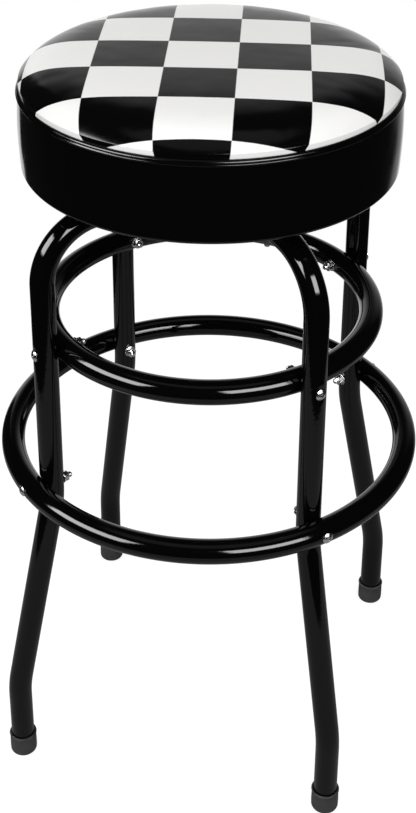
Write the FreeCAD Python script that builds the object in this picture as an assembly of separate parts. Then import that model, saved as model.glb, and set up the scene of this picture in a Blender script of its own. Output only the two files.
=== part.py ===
import FreeCAD, Part
import math
import os

# Round swivel stool: a padded seat on a ball-race swivel, carried by four bent tube legs that are tied
# together by an upper ring inside them and a lower ring outside them. Millimetres, Z up, origin on the
# floor under the middle of the seat. The legs stand on the diagonals.

# Leg tubes
tube_diameter = 25.0
tube_wall = 1.5
leg_radius = 192.0            # from the middle of the stool to the upright stretch of a leg
foot_radius = 242.5           # from the middle of the stool to the foot
arm_height = 646.0            # centre line of the arms under the seat
knee_height = 328.0
ankle_height = 96.0
arm_bend_radius = 62.5
knee_bend_radius = 150.0
ankle_bend_radius = 130.0

# Foot rings
ring_tube_diameter = 25.0
ring_tube_wall = 1.5
upper_ring_height = 507.0
lower_ring_height = 350.5
saddle_depth = 3.2            # how far each ring sits into its pressed saddle in the legs

# Screws, washers and nuts
thread_diameter = 6.0
hole_clearance = 0.25
head_diameter = 12.0
head_height = 3.0
washer_diameter = 13.0
washer_thickness = 1.2
nut_across_flats = 10.0
nut_height = 5.0
screw_tail = 4.5              # thread left standing out of the nut
seat_press_depth = 0.6        # flat pressed into a tube under a screw head or a washer
seat_press_margin = 1.0

# Rubber foot tips
tip_wall = 2.0
tip_floor = 5.0
tip_height = 26.0
tip_edge_radius = 4.0
tip_lip_height = 2.4
tip_lip_proud = 0.5           # how far the lip round the top of a tip stands out
tip_fit = 0.05

# Plugs in the inner ends of the arms
plug_head = 2.0
plug_stem_length = 10.0
plug_stem_wall = 1.6
plug_fit = 0.1

# Swivel
plate_thickness = 2.5
plates_gap = 13.7
plate_corner_margin = 18.0    # from a corner of the plate to its bolt hole
plate_corner_radius = 12.0
outer_bolt_radius = 106.0
inner_bolt_margin = 20.0      # from the inner end of an arm to its inner bolt
race_radius = 43.0
race_land = 8.0
flank_width = 5.0
ball_diameter = 8.0
ball_count = 16
ball_clearance = 0.1
cage_thickness = 1.2
cage_rim = 1.6
cage_pocket_clearance = 0.2
arm_end_gap = 8.0             # from the pressed middle of the plate to the ends of the arms
eyelet_radius = 20.0
eyelet_wall = 1.5
eyelet_flange = 7.0
eyelet_running_gap = 0.3

# Seat
seat_radius = 189.8
side_height = 82.3            # lower edge of the seat to the seam of its top
crown_height = 27.8           # seam to the highest point of the top
crown_dome = 1.8              # the part of the crown that is a gentle dome
crown_power = 18.0            # how late the top rolls over into its edge
board_thickness = 15.0
board_inset = 8.0
vinyl_thickness = 1.2
layer_gap = 0.2
side_corner_radius = 4.0
wrap_width = 28.0             # vinyl turned under the board
dust_cover_thickness = 0.6
dust_cover_margin = 2.0
welt_height = 8.0
welt_proud = 1.2
blind_nut_flange = 19.0
blind_nut_flange_thickness = 1.2
blind_nut_barrel = 7.8
blind_nut_length = 11.0
blind_nut_clearance = 0.15
seat_screw_reach = 12.0       # how far a seat screw enters the board

# Sizes that follow from the ones above
tube_radius = tube_diameter / 2
bore_radius = tube_radius - tube_wall
ring_tube_radius = ring_tube_diameter / 2
upper_ring_radius = leg_radius - tube_radius - ring_tube_radius + saddle_depth
lower_ring_radius = leg_radius + tube_radius + ring_tube_radius - saddle_depth
hole_radius = thread_diameter / 2 + hole_clearance
seat_press_radius = max(head_diameter, washer_diameter) / 2 + seat_press_margin

lower_plate_bottom = arm_height + tube_radius
swivel_middle = lower_plate_bottom + plate_thickness + plates_gap / 2
upper_plate_top = lower_plate_bottom + 2 * plate_thickness + plates_gap
ball_radius = ball_diameter / 2
land_gap = ball_radius                        # half of the free height between the raised lands, twice
plate_raise = (plates_gap - land_gap) / 2
press_radius = race_radius + race_land + flank_width
arm_end_radius = press_radius + arm_end_gap
inner_bolt_radius = arm_end_radius + inner_bolt_margin
plate_half_side = (outer_bolt_radius + plate_corner_margin) / math.sqrt(2)

board_bottom = upper_plate_top + dust_cover_thickness
board_top = board_bottom + board_thickness
board_radius = seat_radius - board_inset
seat_bottom = board_bottom - vinyl_thickness
seam_height = seat_bottom + side_height
lining_radius = seat_radius - vinyl_thickness

leg_azimuths = {"back_right": 45, "back_left": 135, "front_left": 225, "front_right": 315}

origin = FreeCAD.Vector(0, 0, 0)
up = FreeCAD.Vector(0, 0, 1)
outward = FreeCAD.Vector(1, 0, 0)
overshoot = 1.0


# Helpers

def point(radius, height):
    """A point in the upright plane through azimuth 0."""
    return FreeCAD.Vector(radius, 0, height)


def line(start, end):
    return Part.LineSegment(start, end).toShape()


def arc(start, middle, end):
    return Part.Arc(start, middle, end).toShape()


def turned(edges):
    """The solid that a closed profile in the azimuth 0 plane sweeps round the Z axis."""
    face = Part.Face(Part.Wire(edges))
    return face.revolve(origin, up, 360)


def turned_polygon(corners):
    points = [point(*corner) for corner in corners]
    return turned([line(a, b) for a, b in zip(points, points[1:] + points[:1])])


def disc(radius, bottom, top):
    return Part.makeCylinder(radius, top - bottom, point(0, bottom), up)


def at_azimuth(shape, azimuth):
    return shape.rotated(origin, up, azimuth)


def on_each_leg(shape):
    return [at_azimuth(shape, azimuth) for azimuth in leg_azimuths.values()]


def placed(shape, position, direction):
    """A shape made along +Z, set with its origin at a position and its +Z along a direction."""
    shape = shape.copy()
    shape.Placement = FreeCAD.Placement(position, FreeCAD.Rotation(up, direction))
    return shape


def rounded_path(corners, radii):
    """A wire of straight runs through the corners, with a tangent arc at each inner corner."""
    edges = []
    start = corners[0]
    for before, corner, after, radius in zip(corners, corners[1:], corners[2:], radii):
        back = (before - corner).normalize()
        ahead = (after - corner).normalize()
        half_angle = back.getAngle(ahead) / 2
        trim = radius / math.tan(half_angle)
        bisector = (back + ahead).normalize()
        centre = corner + bisector * (radius / math.sin(half_angle))
        arc_start = corner + back * trim
        arc_end = corner + ahead * trim
        edges.append(line(start, arc_start))
        edges.append(arc(arc_start, centre - bisector * radius, arc_end))
        start = arc_end
    edges.append(line(start, corners[-1]))
    return Part.Wire(edges)


def rod_along(path, radius):
    first = path.Edges[0]
    start = first.valueAt(first.FirstParameter)
    direction = first.tangentAt(first.FirstParameter)
    face = Part.Face(Part.Wire(Part.makeCircle(radius, start, direction)))
    return path.makePipe(face)


def pressed_tube(skin, bore, presses):
    """A tube wall whose skin and bore are both pushed in by the same tools, so that it keeps its wall."""
    for tool, grown_tool in presses:
        skin = skin.cut(tool)
        bore = bore.cut(grown_tool)
    return skin.cut(bore)


def flat_press(distance, height, direction, wall):
    """The tools that press a round flat across a tube at azimuth 0, seen from outside along X."""
    reach = tube_diameter
    start = point(distance, height)
    grown_start = start - direction * wall
    tool = Part.makeCylinder(seat_press_radius, reach, start, direction)
    grown_tool = Part.makeCylinder(seat_press_radius + wall, reach, grown_start, direction)
    return tool, grown_tool


def ring_press(radius, height, wall):
    """The tools that press the saddle for a ring into a leg."""
    tool = Part.makeTorus(radius, ring_tube_radius, point(0, height), up)
    grown_tool = Part.makeTorus(radius, ring_tube_radius + wall, point(0, height), up)
    return tool, grown_tool


# Where the screws through the legs and rings start and end, along X at azimuth 0

leg_outer_seat = leg_radius + tube_radius - seat_press_depth
leg_inner_seat = leg_radius - tube_radius + seat_press_depth
upper_ring_inner_seat = upper_ring_radius - ring_tube_radius + seat_press_depth
lower_ring_outer_seat = lower_ring_radius + ring_tube_radius - seat_press_depth
arm_under_seat = arm_height - tube_radius + seat_press_depth


# Fasteners

def screw(length):
    """A low domed screw: the head stands on +Z, the thread runs to -Z."""
    head_radius = head_diameter / 2
    rim = head_height / 5
    rise = head_height - rim
    dome_radius = (head_radius ** 2 + rise ** 2) / (2 * rise)
    half = math.asin(head_radius / dome_radius) / 2
    dome_middle = point(dome_radius * math.sin(half), head_height - dome_radius * (1 - math.cos(half)))
    head = turned([
        line(point(0, 0), point(head_radius, 0)),
        line(point(head_radius, 0), point(head_radius, rim)),
        arc(point(head_radius, rim), dome_middle, point(0, head_height)),
        line(point(0, head_height), point(0, 0)),
    ])
    return head.fuse(disc(thread_diameter / 2, -length, 0)).removeSplitter()


def washer():
    """A washer whose seat is at the origin and whose outer face looks along +Z."""
    return disc(washer_diameter / 2, 0, washer_thickness).cut(disc(hole_radius, 0, washer_thickness))


def nut():
    """A six-sided nut that stands on the origin, towards +Z."""
    corner_radius = nut_across_flats / math.sqrt(3)
    corners = []
    for side in range(7):
        angle = math.radians(60 * side)
        corners.append(FreeCAD.Vector(corner_radius * math.cos(angle), corner_radius * math.sin(angle), 0))
    prism = Part.Face(Part.makePolygon(corners)).extrude(up * nut_height)
    return prism.cut(disc(thread_diameter / 2, 0, nut_height))


def joint_fasteners(head_place, nut_place, head_direction):
    """The screw, washer and nut that clamp whatever lies between two seats."""
    grip = (head_place - nut_place).Length
    length = grip + washer_thickness + nut_height + screw_tail
    nut_direction = head_direction * -1
    return {
        "screws": placed(screw(length), head_place, head_direction),
        "washers": placed(washer(), nut_place, nut_direction),
        "nuts": placed(nut(), nut_place + nut_direction * washer_thickness, nut_direction),
    }


# Frame

def leg():
    """One leg at azimuth 0: arm, bend, upright, knee, splay, ankle and foot, pressed where it is joined."""
    foot_end = tip_floor
    corners = [(leg_radius, arm_height), (leg_radius, knee_height), (foot_radius, ankle_height)]
    bends = [arm_bend_radius, knee_bend_radius, ankle_bend_radius]

    def path(extra):
        ends = [(arm_end_radius - extra, arm_height)] + corners + [(foot_radius, foot_end - extra)]
        return rounded_path([point(*place) for place in ends], bends)

    presses = [
        ring_press(upper_ring_radius, upper_ring_height, tube_wall),
        ring_press(lower_ring_radius, lower_ring_height, tube_wall),
        flat_press(leg_outer_seat, upper_ring_height, outward, tube_wall),
        flat_press(leg_inner_seat, lower_ring_height, outward * -1, tube_wall),
    ]
    for radius in (inner_bolt_radius, outer_bolt_radius):
        presses.append(flat_press(radius, arm_under_seat, up * -1, tube_wall))
    shape = pressed_tube(rod_along(path(0), tube_radius), rod_along(path(overshoot), bore_radius), presses)
    for height in (upper_ring_height, lower_ring_height):
        start = point(leg_radius - tube_diameter, height)
        shape = shape.cut(Part.makeCylinder(hole_radius, 2 * tube_diameter, start, outward))
    for radius in (inner_bolt_radius, outer_bolt_radius):
        start = point(radius, arm_height - tube_diameter)
        shape = shape.cut(Part.makeCylinder(hole_radius, 2 * tube_diameter, start, up))
    return shape


def ring(radius, height, flat_distance, flat_direction):
    """A round tube ring with a pressed flat and a cross hole at each leg."""
    skin = Part.makeTorus(radius, ring_tube_radius, point(0, height), up)
    bore = Part.makeTorus(radius, ring_tube_radius - ring_tube_wall, point(0, height), up)
    presses = []
    tools = flat_press(flat_distance, height, flat_direction, ring_tube_wall)
    for azimuth in leg_azimuths.values():
        presses.append([at_azimuth(tool, azimuth) for tool in tools])
    shape = pressed_tube(skin, bore, presses)
    hole = Part.makeCylinder(hole_radius, 2 * ring_tube_diameter, point(radius - ring_tube_diameter, height), outward)
    for cross_hole in on_each_leg(hole):
        shape = shape.cut(cross_hole)
    return shape


def foot_tip():
    """A rubber tip pushed over the end of a leg, with a rounded foot and a lip round its top."""
    outer = tube_radius + tip_wall
    inner = tube_radius + tip_fit
    edge = tip_edge_radius
    corner = edge * (1 - math.sqrt(0.5))
    lip_bottom = tip_height - tip_lip_height
    lip_middle = tip_height - tip_lip_height / 2
    profile = turned([
        line(point(0, 0), point(outer - edge, 0)),
        arc(point(outer - edge, 0), point(outer - corner, corner), point(outer, edge)),
        line(point(outer, edge), point(outer, lip_bottom)),
        arc(point(outer, lip_bottom), point(outer + tip_lip_proud, lip_middle), point(outer, tip_height)),
        line(point(outer, tip_height), point(inner, tip_height)),
        line(point(inner, tip_height), point(inner, tip_floor)),
        line(point(inner, tip_floor), point(0, tip_floor)),
        line(point(0, tip_floor), point(0, 0)),
    ])
    return profile.translated(point(foot_radius, 0))


def arm_plug():
    """A plastic plug in the inner end of an arm: a flat head and a hollow stem."""
    stem_radius = bore_radius - plug_fit
    head = disc(tube_radius, -plug_head, 0)
    stem = disc(stem_radius, 0, plug_stem_length).cut(
        disc(stem_radius - plug_stem_wall, 0, plug_stem_length))
    plug = head.fuse(stem).removeSplitter()
    return placed(plug, point(arm_end_radius, arm_height), outward)


# Swivel

def swivel_plate():
    """The lower plate with its underside at height 0: a square sheet, raised in the middle, with a race."""
    half = plate_half_side
    sheet = Part.makeBox(2 * half, 2 * half, plate_thickness, FreeCAD.Vector(-half, -half, 0))
    upright_edges = [edge for edge in sheet.Edges if abs(edge.tangentAt(0).z) > 0.5]
    sheet = sheet.makeFillet(plate_corner_radius, upright_edges)
    sheet = sheet.cut(disc(press_radius, 0, plate_thickness))

    middle = plate_thickness + plates_gap / 2
    land_bottom = plate_raise
    land_top = plate_raise + plate_thickness
    groove = ball_radius + ball_clearance
    groove_half = math.sqrt(groove ** 2 - (middle - land_top) ** 2)
    bulge = groove + plate_thickness
    bulge_half = math.sqrt(bulge ** 2 - (middle - land_bottom) ** 2)
    land_edge = press_radius - flank_width
    hub = eyelet_radius + eyelet_running_gap
    top = [
        line(point(press_radius, plate_thickness), point(land_edge, land_top)),
        line(point(land_edge, land_top), point(race_radius + groove_half, land_top)),
        arc(point(race_radius + groove_half, land_top), point(race_radius, middle - groove),
            point(race_radius - groove_half, land_top)),
        line(point(race_radius - groove_half, land_top), point(hub, land_top)),
    ]
    bottom = [
        line(point(hub, land_bottom), point(race_radius - bulge_half, land_bottom)),
        arc(point(race_radius - bulge_half, land_bottom), point(race_radius, middle - bulge),
            point(race_radius + bulge_half, land_bottom)),
        line(point(race_radius + bulge_half, land_bottom), point(land_edge, land_bottom)),
        line(point(land_edge, land_bottom), point(press_radius, 0)),
    ]
    rim = line(point(press_radius, 0), point(press_radius, plate_thickness))
    hub_wall = line(point(hub, land_top), point(hub, land_bottom))
    pressing = turned(top + [hub_wall] + bottom + [rim])
    return sheet.fuse(pressing).removeSplitter()


def plate_hole(radius):
    return Part.makeCylinder(hole_radius, plate_thickness, point(radius, 0), up)


def swivel_lower_plate():
    plate = swivel_plate()
    for radius in (inner_bolt_radius, outer_bolt_radius):
        for hole in on_each_leg(plate_hole(radius)):
            plate = plate.cut(hole)
    return plate.translated(point(0, lower_plate_bottom))


def swivel_upper_plate():
    """The lower plate's twin, turned over, with holes for the seat screws."""
    plate = swivel_plate()
    for hole in on_each_leg(plate_hole(outer_bolt_radius)):
        plate = plate.cut(hole)
    plate = plate.rotated(origin, outward, 180)
    return plate.translated(point(0, upper_plate_top))


def swivel_eyelet():
    """The hollow rivet in the middle: it is closed on the upper plate and turns in the lower one."""
    bore = eyelet_radius - eyelet_wall
    flange = eyelet_radius + eyelet_flange
    top = upper_plate_top - plate_raise
    bottom = lower_plate_bottom + plate_raise - eyelet_running_gap
    return turned_polygon([
        (bore, bottom - eyelet_wall), (flange, bottom - eyelet_wall), (flange, bottom),
        (eyelet_radius, bottom), (eyelet_radius, top), (flange, top),
        (flange, top + eyelet_wall), (bore, top + eyelet_wall),
    ])


def balls():
    ball = Part.makeSphere(ball_radius, point(race_radius, swivel_middle))
    return [at_azimuth(ball, 360 / ball_count * number) for number in range(ball_count)]


def ball_cage():
    bottom = swivel_middle - cage_thickness / 2
    top = swivel_middle + cage_thickness / 2
    half_width = ball_radius + cage_pocket_clearance + cage_rim
    cage = disc(race_radius + half_width, bottom, top).cut(disc(race_radius - half_width, bottom, top))
    pocket = Part.makeCylinder(ball_radius + cage_pocket_clearance, cage_thickness,
                               point(race_radius, bottom), up)
    for number in range(ball_count):
        cage = cage.cut(at_azimuth(pocket, 360 / ball_count * number))
    return cage


# Seat

def crown_edge(radius, base, height, flat_share=0.8, flat_steps=4, roll_steps=8):
    """The profile of the seat top from its middle to its edge: a gentle dome that rolls over late."""
    roll = height - crown_dome
    fallen = flat_share ** crown_power
    shares = [flat_share * step / flat_steps for step in range(1, flat_steps + 1)]
    for step in range(1, roll_steps + 1):
        shares.append((fallen + (1 - fallen) * step / roll_steps) ** (1 / crown_power))
    points = [point(0, base + height)]
    for share in shares:
        rise = roll * (1 - share ** crown_power) + crown_dome * (1 - share ** 2)
        points.append(point(radius * share, base + rise))
    edge_direction = point(radius, -(crown_power * roll + 2 * crown_dome)).normalize()
    curve = Part.BSplineCurve()
    curve.interpolate(points, InitialTangent=outward, FinalTangent=edge_direction)
    return curve.toShape()


def seat_board():
    board = disc(board_radius, board_bottom, board_top)
    barrel = blind_nut_barrel / 2 + blind_nut_clearance
    flange = blind_nut_flange / 2 + blind_nut_clearance
    hole = Part.makeCylinder(barrel, board_thickness, point(outer_bolt_radius, board_bottom), up)
    recess = Part.makeCylinder(flange, blind_nut_flange_thickness,
                               point(outer_bolt_radius, board_top - blind_nut_flange_thickness), up)
    for pocket in on_each_leg(hole.fuse(recess)):
        board = board.cut(pocket)
    return board


def blind_nuts():
    """Flanged nuts let into the top of the board over the corner holes of the upper plate."""
    flange = disc(blind_nut_flange / 2, board_top - blind_nut_flange_thickness, board_top)
    barrel = disc(blind_nut_barrel / 2, board_top - blind_nut_length, board_top)
    thread = disc(thread_diameter / 2, board_top - blind_nut_length, board_top)
    nut_shape = flange.fuse(barrel).cut(thread).removeSplitter()
    return on_each_leg(nut_shape.translated(point(outer_bolt_radius, 0)))


def seat_screws():
    """Screws from under the upper plate into the blind nuts."""
    head_place = point(outer_bolt_radius, upper_plate_top - plate_thickness)
    length = plate_thickness + dust_cover_thickness + seat_screw_reach
    return on_each_leg(placed(screw(length), head_place, up * -1))


def dust_cover():
    """Thin cloth disc clamped between the upper plate and the board."""
    radius = seat_radius - wrap_width - dust_cover_margin
    cover = disc(radius, upper_plate_top, board_bottom)
    for hole in on_each_leg(Part.makeCylinder(hole_radius, dust_cover_thickness,
                                              point(outer_bolt_radius, upper_plate_top), up)):
        cover = cover.cut(hole)
    return cover


def seat_foam():
    """Foam pad on the board, with a skirt round the board's edge."""
    radius = lining_radius - layer_gap
    base = board_top + layer_gap
    skirt = board_radius + layer_gap
    bottom = board_bottom + side_corner_radius
    height = crown_height - vinyl_thickness - layer_gap
    return turned([
        line(point(0, base), point(skirt, base)),
        line(point(skirt, base), point(skirt, bottom)),
        line(point(skirt, bottom), point(radius, bottom)),
        line(point(radius, bottom), point(radius, seam_height)),
        crown_edge(radius, seam_height, height),
        line(point(0, seam_height + height), point(0, base)),
    ])


def seat_top_cover():
    """Crowned vinyl top, down to the seam."""
    outer = crown_edge(seat_radius, seam_height, crown_height)
    inner = crown_edge(lining_radius, seam_height, crown_height - vinyl_thickness)
    return turned([
        outer,
        line(point(seat_radius, seam_height), point(lining_radius, seam_height)),
        inner,
        line(point(0, seam_height + crown_height - vinyl_thickness), point(0, seam_height + crown_height)),
    ])


def seat_side_band():
    """Upright vinyl band, turned under the board."""
    inner_edge = seat_radius - wrap_width
    corner = side_corner_radius * (1 - math.sqrt(0.5))
    inner_corner_radius = side_corner_radius - vinyl_thickness
    inner_corner = inner_corner_radius * (1 - math.sqrt(0.5))
    corner_height = seat_bottom + side_corner_radius
    return turned([
        line(point(inner_edge, seat_bottom), point(seat_radius - side_corner_radius, seat_bottom)),
        arc(point(seat_radius - side_corner_radius, seat_bottom),
            point(seat_radius - corner, seat_bottom + corner),
            point(seat_radius, corner_height)),
        line(point(seat_radius, corner_height), point(seat_radius, seam_height)),
        line(point(seat_radius, seam_height), point(lining_radius, seam_height)),
        line(point(lining_radius, seam_height), point(lining_radius, corner_height)),
        arc(point(lining_radius, corner_height),
            point(lining_radius - inner_corner, board_bottom + inner_corner),
            point(lining_radius - inner_corner_radius, board_bottom)),
        line(point(lining_radius - inner_corner_radius, board_bottom), point(inner_edge, board_bottom)),
        line(point(inner_edge, board_bottom), point(inner_edge, seat_bottom)),
    ])


def seat_welt():
    """Rolled band that covers the seam."""
    bottom = seam_height - welt_height
    middle = seam_height - welt_height / 2
    return turned([
        line(point(seat_radius, bottom), point(seat_radius, seam_height)),
        arc(point(seat_radius, seam_height), point(seat_radius + welt_proud, middle),
            point(seat_radius, bottom)),
    ])


# Every node and the solids in it

nodes = {}
leg_shape = leg()
for place, azimuth in leg_azimuths.items():
    nodes["leg_" + place] = [at_azimuth(leg_shape, azimuth)]
    nodes["foot_tip_" + place] = [at_azimuth(foot_tip(), azimuth)]
    nodes["arm_plug_" + place] = [at_azimuth(arm_plug(), azimuth)]
nodes["upper_ring"] = [ring(upper_ring_radius, upper_ring_height, upper_ring_inner_seat, outward * -1)]
nodes["lower_ring"] = [ring(lower_ring_radius, lower_ring_height, lower_ring_outer_seat, outward)]

fastener_sets = {
    "upper_ring": [joint_fasteners(point(leg_outer_seat, upper_ring_height),
                                   point(upper_ring_inner_seat, upper_ring_height), outward)],
    "lower_ring": [joint_fasteners(point(lower_ring_outer_seat, lower_ring_height),
                                   point(leg_inner_seat, lower_ring_height), outward)],
    "arm": [joint_fasteners(point(radius, lower_plate_bottom + plate_thickness),
                            point(radius, arm_under_seat), up)
            for radius in (inner_bolt_radius, outer_bolt_radius)],
}
for set_name, joints in fastener_sets.items():
    for kind in ("screws", "washers", "nuts"):
        nodes[set_name + "_" + kind] = [
            solid for fasteners in joints for solid in on_each_leg(fasteners[kind])]

nodes["swivel_lower_plate"] = [swivel_lower_plate()]
nodes["swivel_upper_plate"] = [swivel_upper_plate()]
nodes["swivel_eyelet"] = [swivel_eyelet()]
nodes["swivel_ball_cage"] = [ball_cage()]
nodes["swivel_balls"] = balls()
nodes["seat_screws"] = seat_screws()
nodes["seat_blind_nuts"] = blind_nuts()
nodes["seat_board"] = [seat_board()]
nodes["seat_dust_cover"] = [dust_cover()]
nodes["seat_foam"] = [seat_foam()]
nodes["seat_side_band"] = [seat_side_band()]
nodes["seat_welt"] = [seat_welt()]
nodes["seat_top_cover"] = [seat_top_cover()]

os.makedirs("parts", exist_ok=True)
for name, solids in nodes.items():
    shape = solids[0] if len(solids) == 1 else Part.Compound(solids)
    if not shape.isValid():
        raise ValueError(name + " is not a valid shape")
    shape.exportStep("parts/" + name + ".step")
    print(name, len(shape.Solids), round(shape.Volume))
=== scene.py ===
"""Looks of the round swivel stool: chequered vinyl seat, gloss black tube frame, zinc screws, rubber tips."""

import math

import bmesh
import bpy
from bpy.props import FloatProperty, FloatVectorProperty, IntProperty, PointerProperty
from mathutils import Matrix, Vector


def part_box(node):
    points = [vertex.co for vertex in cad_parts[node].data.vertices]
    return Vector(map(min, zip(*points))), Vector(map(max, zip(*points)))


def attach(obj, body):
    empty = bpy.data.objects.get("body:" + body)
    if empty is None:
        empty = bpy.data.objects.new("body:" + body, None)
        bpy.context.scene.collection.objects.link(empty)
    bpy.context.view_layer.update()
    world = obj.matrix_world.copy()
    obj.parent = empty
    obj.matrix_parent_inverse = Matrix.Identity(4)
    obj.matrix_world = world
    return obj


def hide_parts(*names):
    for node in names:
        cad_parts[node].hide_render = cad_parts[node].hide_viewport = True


bl_info = {
    "name": "Swivel Stool",
    "version": (1, 0, 0),
    "blender": (4, 5, 0),
    "location": "View3D > Sidebar > Stool",
    "description": "Builds the visible pieces of a round swivel stool around its construction model",
    "category": "Add Mesh",
}

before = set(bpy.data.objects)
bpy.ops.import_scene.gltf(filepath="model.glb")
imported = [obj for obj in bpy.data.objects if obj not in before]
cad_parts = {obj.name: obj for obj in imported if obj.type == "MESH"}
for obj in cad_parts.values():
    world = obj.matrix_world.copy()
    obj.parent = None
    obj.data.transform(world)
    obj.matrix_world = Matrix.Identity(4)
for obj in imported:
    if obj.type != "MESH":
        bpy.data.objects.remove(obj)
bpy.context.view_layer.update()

LEG_AZIMUTHS = {"back_right": 45, "back_left": 135, "front_left": 225, "front_right": 315}


# Sizes read from the frame

def box_size(node):
    low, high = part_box(node)
    return high - low


TUBE_RADIUS = box_size("arm_plug_front_right").z / 2
ARM_HEIGHT = sum(corner.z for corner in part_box("arm_plug_front_right")) / 2
RING_TUBE_RADIUS = box_size("upper_ring").z / 2
UPPER_RING_HEIGHT = sum(corner.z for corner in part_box("upper_ring")) / 2
LOWER_RING_HEIGHT = sum(corner.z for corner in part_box("lower_ring")) / 2
UPPER_RING_RADIUS = box_size("upper_ring").x / 2 - RING_TUBE_RADIUS
LOWER_RING_RADIUS = box_size("lower_ring").x / 2 - RING_TUBE_RADIUS
TIP_HEIGHT = box_size("foot_tip_front_right").z
TIP_RADIUS = box_size("foot_tip_front_right").x / 2
FOOT_RADIUS = sum(corner.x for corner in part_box("foot_tip_front_right")) / 2 * math.sqrt(2)
SEAT_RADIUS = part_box("seat_side_band")[1].x
SEAT_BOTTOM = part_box("seat_side_band")[0].z
SEAM_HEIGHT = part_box("seat_side_band")[1].z
CREASE_RISE = 0.0022
CREASE_HEIGHT = SEAM_HEIGHT + CREASE_RISE
SEAT_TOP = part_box("seat_top_cover")[1].z
BOARD_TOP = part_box("seat_board")[1].z
SWIVEL_MIDDLE = sum(corner.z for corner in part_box("swivel_balls")) / 2
BALL_RADIUS = box_size("swivel_balls").z / 2
RACE_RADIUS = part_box("swivel_balls")[1].x - BALL_RADIUS
LOWER_PLATE_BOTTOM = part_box("swivel_lower_plate")[0].z


# Settings that a user would change

def length(name, description, default):
    return FloatProperty(name=name, description=description, default=default, unit="LENGTH")


def angle(name, description, default):
    return FloatProperty(name=name, description=description, default=default, subtype="ANGLE")


def colour(name, description, default):
    return FloatVectorProperty(name=name, description=description, default=default, size=4, subtype="COLOR")


class StoolFrameSettings(bpy.types.PropertyGroup):
    """Sizes of the tube frame and its fasteners."""
    leg_radius: length("Leg radius", "From the middle of the stool to the upright stretch of a leg", 0.192)
    knee_height: length("Knee height", "Height of the outward bend below the lower ring", 0.328)
    ankle_height: length("Ankle height", "Height of the bend above the foot", 0.096)
    arm_bend_radius: length("Arm bend", "Radius of the bend under the seat", 0.0625)
    knee_bend_radius: length("Knee bend", "Radius of the bend at the knee", 0.15)
    ankle_bend_radius: length("Ankle bend", "Radius of the bend at the ankle", 0.13)
    arm_end_radius: length("Arm end", "From the middle of the stool to the inner end of an arm", 0.064)
    inner_bolt_margin: length("Inner bolt", "From the inner end of an arm to its inner screw", 0.02)
    tip_floor: length("Tip floor", "Rubber under the end of a leg", 0.005)
    press_depth: length("Press depth", "Depth of the flats under screw heads and washers", 0.0006)
    screw_radius: length("Screw radius", "Outside radius of the screw threads", 0.003)
    head_radius: length("Head radius", "Radius of the domed screw heads", 0.006)
    head_height: length("Head height", "Height of the domed screw heads", 0.003)
    recess_width: length("Recess width", "Span of the cross recess in a screw head", 0.0058)
    recess_slot: length("Recess slot", "Width of the slots of the cross recess", 0.0012)
    recess_depth: length("Recess depth", "Depth of the cross recess", 0.0019)
    washer_radius: length("Washer radius", "Outside radius of the washers", 0.0065)
    washer_thickness: length("Washer thickness", "Thickness of the washers", 0.0012)
    nut_flats: length("Nut size", "Width of the nuts across their flats", 0.01)
    nut_height: length("Nut height", "Height of the nuts", 0.005)
    screw_tail: length("Screw tail", "Thread that stands out of a nut", 0.0045)
    tip_lip: length("Tip lip", "How far the bead at the top of a foot tip stands out", 0.0005)
    thread_pitch: length("Thread pitch", "Distance from one thread to the next", 0.001)
    ball_count: IntProperty(
        name="Balls", description="Number of balls in the swivel", default=16, min=3)


class StoolSeatSettings(bpy.types.PropertyGroup):
    """Sizes of the padded seat and its chequers."""
    crown_dome: length("Dome", "Height of the gentle dome of the seat top", 0.0017)
    crown_power: FloatProperty(
        name="Roll", description="How late the top rolls over into its edge", default=11.4)
    crown_radius: length("Crown radius", "From the middle of the seat to the tight roll of its edge", 0.1884)
    edge_height: length(
        "Edge height", "From the crease of the welt up to the tight roll of the edge", 0.0056)
    square: length("Square", "Side of one chequer", 0.07067)
    square_turn: angle("Chequer turn", "Angle of the chequers to the front", math.radians(10.64))
    square_shift: FloatVectorProperty(
        name="Chequer shift", description="Where a corner of the chequers lies from the middle", size=2,
        default=(-0.04332, -0.0378), unit="LENGTH")
    puff_limit: length("Puff limit", "How far the filled cover may swell", 0.0012)


class StoolFinishSettings(bpy.types.PropertyGroup):
    """Colours of the finishes."""
    enamel_colour: colour("Enamel", "Colour of the frame's paint", (0.0012, 0.0012, 0.0013, 1.0))
    vinyl_black: colour(
        "Black vinyl", "Colour of the side band and the black chequers", (0.0012, 0.0012, 0.0013, 1.0))
    vinyl_white: colour("White vinyl", "Colour of the white chequers", (0.81, 0.806, 0.798, 1.0))
    rubber_colour: colour("Rubber", "Colour of the foot tips", (0.014, 0.0138, 0.0135, 1.0))
    zinc_colour: colour("Zinc", "Colour of the zinc plate on the fasteners", (0.68, 0.68, 0.67, 1.0))


class StoolStageSettings(bpy.types.PropertyGroup):
    """Camera and floor."""
    camera_distance: length("Camera distance", "Level distance from the stool to the camera", 1.408)
    camera_height: length("Camera height", "Height of the camera", 1.3289)
    camera_azimuth: angle("Camera azimuth", "Direction of the camera from the front", math.radians(13.32))
    camera_pitch: angle("Camera pitch", "How far the camera looks down", 0.4608)
    camera_roll: angle("Camera roll", "Tilt of the picture", 0.0054)
    focal_pixels: FloatProperty(
        name="Focal length", description="Focal length in picture pixels", default=1538.9)
    centre_pixel: FloatVectorProperty(
        name="Centre pixel", description="Where the lens axis meets the picture", size=2,
        default=(210.0, 198.4))
    picture_size: FloatVectorProperty(
        name="Picture size", description="Width and height of the picture in pixels", size=2,
        default=(416.0, 813.0))
    floor_radius: length("Floor radius", "Radius of the pale floor", 0.9)


# Shader values and nodes

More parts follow.
